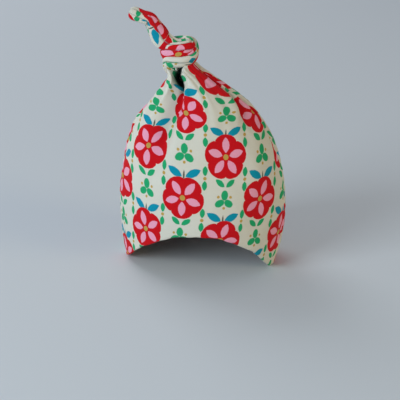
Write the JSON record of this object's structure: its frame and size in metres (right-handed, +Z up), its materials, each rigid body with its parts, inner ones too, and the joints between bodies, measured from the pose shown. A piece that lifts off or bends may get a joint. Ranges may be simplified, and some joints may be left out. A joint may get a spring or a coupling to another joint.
{
  "type": "egg cosy",
  "caption": "Hollow cloth cap that stands on its hem, arched at the front, with gathered tips tied in an overhand knot and a short free tail at the top.",
  "frame": {"origin": "on the floor, under the middle of the cap's bounding box, which stands on its hem", "axes": "+Z up, along the cap to its knot; +X to the right and -Y to the front, where the hem is arched"},
  "size_m": [0.0606, 0.05, 0.0927],
  "materials": {
    "printed_cotton": "matt plain-woven cotton, printed in red, teal and green on cream"
  },
  "bodies": {
    "root": {"front_panel": "printed_cotton", "back_panel": "printed_cotton", "knot": "printed_cotton", "tail": "printed_cotton"}
  },
  "joints": []
}
